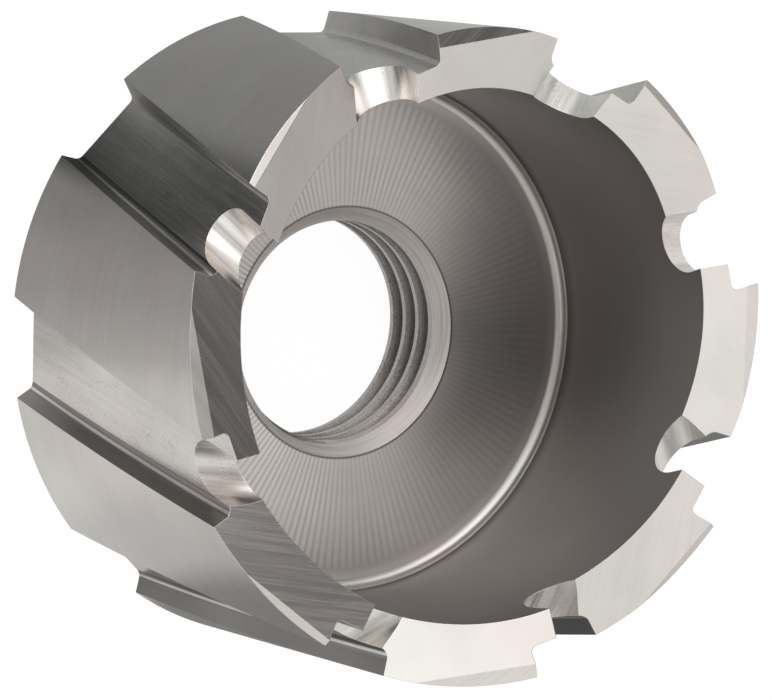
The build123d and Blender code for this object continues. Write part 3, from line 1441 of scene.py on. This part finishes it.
@dataclass
class Studio:
    """A plain pale floor, soft light from all round, and the camera at the photograph's angle."""

    camera_place: tuple[float, float, float] = (90.775, 215.148, 396.284)
    camera_turn: tuple[float, float, float] = (-6.5365, -30.8784, -100.4708)
    lens: float = 263.97
    sensor_width: float = 36.0
    nearest: float = 10.0
    floor_size: float = 3000.0
    floor_height: float = -0.05
    floor_tone: float = 0.8
    floor_seen_tone: float = 0.12
    floor_seen_glow: float = 0.95
    card_height: float = -0.02
    card_inner: float = 20.0
    card_outer: float = 160.0
    card_sides: int = 96
    card_clears_from: float = 0.5
    card_blue: float = 0.985
    base_light: float = 0.02
    horizon_light: float = 0.3
    horizon_band: tuple[float, float] = (0.1, 0.24)
    light_hue: tuple[float, float, float] = (1.0, 0.99, 0.975)
    glows: tuple[Glow, ...] = (
        Glow(-122, 24, 10, 26, 0.38),
        Glow(-98, 20, 6, 16, 0.46),
        Glow(-60, 18, 10, 30, 1.02),
        Glow(-20, 20, 10, 30, 0.73),
        Glow(30, 18, 12, 34, 1.28),
        Glow(95, 18, 12, 34, 1.22),
        Glow(-125, 42, 8, 24, 0.79),
        Glow(-30, 44, 8, 24, 1.2),
        Glow(6, 42, 12, 30, 1.9),
        Glow(125, 42, 10, 32, 0.57),
        Glow(175, 45, 10, 32, 0.66),
        Glow(-150, 64, 8, 24, 0.92),
        Glow(-30, 68, 8, 24, 0.98),
        Glow(90, 68, 10, 30, 0.14),
        Glow(0, 88, 5, 20, 0.95),
        Glow(-97, 40, 5, 10, -0.3),
        Glow(-145, 41, 4, 12, 0.35),
        Glow(-50, 77, 3, 12, 0.3),
        Glow(-74, 68, 4, 9, -0.15),
        Glow(-64, 50, 6, 13, -0.7),
        Glow(152, 70, 4, 11, 0.6),
        Glow(58, 46, 3, 10, 0.9),
        Glow(-141, 26, 4, 9, 0.4),
    )
    card_tones: tuple[CardTone, ...] = (
        CardTone(-180, 0.2, 0.0),
        CardTone(-118, 0.65, 0.0),
        CardTone(-40, 0.58, -0.02),
        CardTone(0, 0.34, -0.03),
        CardTone(25, 0.34, -0.03),
        CardTone(34, 0.12, -0.03),
        CardTone(43, 0.06, -0.03),
        CardTone(50, 0.34, 0.01),
        CardTone(66, 0.46, 0.01),
        CardTone(80, 0.62, 0.01),
        CardTone(89, 0.9, 0.01),
        CardTone(108, 0.95, 0.0),
        CardTone(122, 0.76, 0.0),
        CardTone(131, 0.7, 0.0),
        CardTone(143, 0.3, 0.0),
        CardTone(156, 0.28, 0.0),
        CardTone(180, 0.2, 0.0),
    )

    def build(self) -> None:
        """Sets up the floor, the card, the light and the camera."""
        self.floor()
        self.reflection_card()
        self.world()
        self.camera()
        bpy.context.scene.view_settings.view_transform = "Standard"

    def floor(self) -> None:
        """Lays the pale floor, which looks white to the camera and in the metal."""
        half = self.floor_size / 2
        corners = [(-half, -half), (half, -half), (half, half), (-half, half)]
        maker = MeshMaker("studio_floor")
        maker.face(maker.ring([Vector((x, y, self.floor_height)) for x, y in corners]))
        floor = maker.build()
        floor.data.materials.append(self.floor_material())
        bpy.context.scene.collection.objects.link(floor)

    def floor_material(self) -> bpy.types.Material:
        """Builds the floor's material.

        Returns:
            A pale surface, near white to camera, glossy and transmission rays, that keeps a faint shadow.
        """
        made = bpy.data.materials.new("studio_floor")
        made.cycles.emission_sampling = "NONE"
        graph = cleared(made)
        path = graph.add("ShaderNodeLightPath").outputs
        seen = graph.math("MAXIMUM", path["Is Camera Ray"], path["Is Glossy Ray"])
        seen = graph.math("MAXIMUM", seen, path["Is Transmission Ray"])
        pale = graph.add("ShaderNodeBsdfDiffuse", {"Color": shade(self.floor_tone)})
        faint = graph.add("ShaderNodeBsdfDiffuse", {"Color": shade(self.floor_seen_tone)})
        glow = graph.add("ShaderNodeEmission", {"Color": shade(1.0), "Strength": self.floor_seen_glow})
        white = graph.add("ShaderNodeAddShader", {0: faint.outputs[0], 1: glow.outputs[0]})
        surface = graph.add("ShaderNodeMixShader", {0: seen, 1: pale.outputs[0], 2: white.outputs[0]})
        graph.add("ShaderNodeOutputMaterial", {"Surface": surface.outputs[0]})
        return made

    def reflection_card(self) -> None:
        """Lays a flat card round the cutter, graded round it, that only the metal sees."""
        maker = MeshMaker("reflection_card")
        rings = []
        for side in range(self.card_sides):
            angle = 360 * side / self.card_sides
            radii = (self.card_inner, self.card_outer)
            rings.append(maker.ring([polar(radius, angle, self.card_height) for radius in radii]))
        for low, high in zip(rings, rings[1:] + rings[:1]):
            maker.face([low[0], low[1], high[1], high[0]])
        card = maker.build()
        card.data.materials.append(self.card_material())
        bpy.context.scene.collection.objects.link(card)
        card.visible_camera = False
        card.visible_diffuse = False
        card.visible_shadow = False
        card.visible_transmission = False

    def card_material(self) -> bpy.types.Material:
        """Builds the card's material.

        Returns:
            A plain glow that is graded round the cutter and clears towards the card's rim.
        """
        made = bpy.data.materials.new("reflection_card")
        made.cycles.emission_sampling = "NONE"
        graph = cleared(made)
        place = graph.object_point()
        azimuth = graph.math("DEGREES", graph.azimuth(place))
        ramp = graph.add("ShaderNodeValToRGB", {0: graph.math("DIVIDE", graph.plus(azimuth, 180.0), 360.0)})
        ramp.color_ramp.interpolation = "EASE"
        points = ramp.color_ramp.elements
        while len(points) < len(self.card_tones):
            points.new(0.5)
        for point, side in zip(points, self.card_tones):
            point.position = (side.azimuth + 180) / 360
            point.color = shade(side.tone, (1 + side.warmth, 1.0, self.card_blue))
        glow = graph.add("ShaderNodeEmission", {"Color": ramp.outputs[0], "Strength": 1.0})
        clear = graph.add("ShaderNodeBsdfTransparent")
        away = graph.vector("LENGTH", place, out="Value")
        gone = graph.fade(away, self.card_clears_from * self.card_outer * MM, self.card_outer * MM)
        surface = graph.add("ShaderNodeMixShader", {0: gone, 1: glow.outputs[0], 2: clear.outputs[0]})
        graph.add("ShaderNodeOutputMaterial", {"Surface": surface.outputs[0]})
        return made

    def world(self) -> None:
        """Lights the scene from all round: a plain band low down, and soft patches above."""
        world = bpy.data.worlds.new("studio_light")
        bpy.context.scene.world = world
        graph = cleared(world)
        look = graph.vector("NORMALIZE", graph.add("ShaderNodeTexCoord").outputs["Generated"])
        light: object = self.base_light
        for glow in self.glows:
            light = glow.added_to(light, look, graph)
        low = graph.fade(graph.math("ABSOLUTE", graph.axes(look)["Z"]), *self.horizon_band, 1.0, 0.0)
        above = graph.times(light, graph.less(1.0, low))
        light = graph.plus(graph.times(low, self.horizon_light), above)
        light = graph.math("MAXIMUM", light, self.base_light)
        shown = graph.add("ShaderNodeBackground", {"Color": shade(1.0, self.light_hue), "Strength": light})
        graph.add("ShaderNodeOutputWorld", {"Surface": shown.outputs[0]})

    def camera(self) -> None:
        """Sets the camera where the photograph was taken from."""
        lens = bpy.data.cameras.new("camera")
        lens.lens = self.lens
        lens.sensor_width = self.sensor_width
        lens.clip_start = self.nearest * MM
        camera = bpy.data.objects.new("camera", lens)
        camera.location = Vector(self.camera_place) * MM
        camera.rotation_euler = [math.radians(angle) for angle in self.camera_turn]
        bpy.context.scene.collection.objects.link(camera)
        bpy.context.scene.camera = camera


def main() -> None:
    """Builds the cutter and the studio, and reports each piece."""
    logging.basicConfig(level=logging.INFO, format="%(name)s: %(message)s")
    sizes = CutterSizes()
    effects = SharedEffects(sizes)
    steels = {cut: finish.material(effects) for cut, finish in steel_finishes().items()}
    body = CutterBody(sizes).build(steels)
    bpy.context.scene.collection.objects.link(body)
    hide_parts(CUTTER_NODE)
    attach(body, "root")
    LOG.info("%s: %d faces", body.name, len(body.data.polygons))
    Studio().build()
    LOG.info("studio: floor, card, light and camera")


if __name__ == "__main__":
    main()
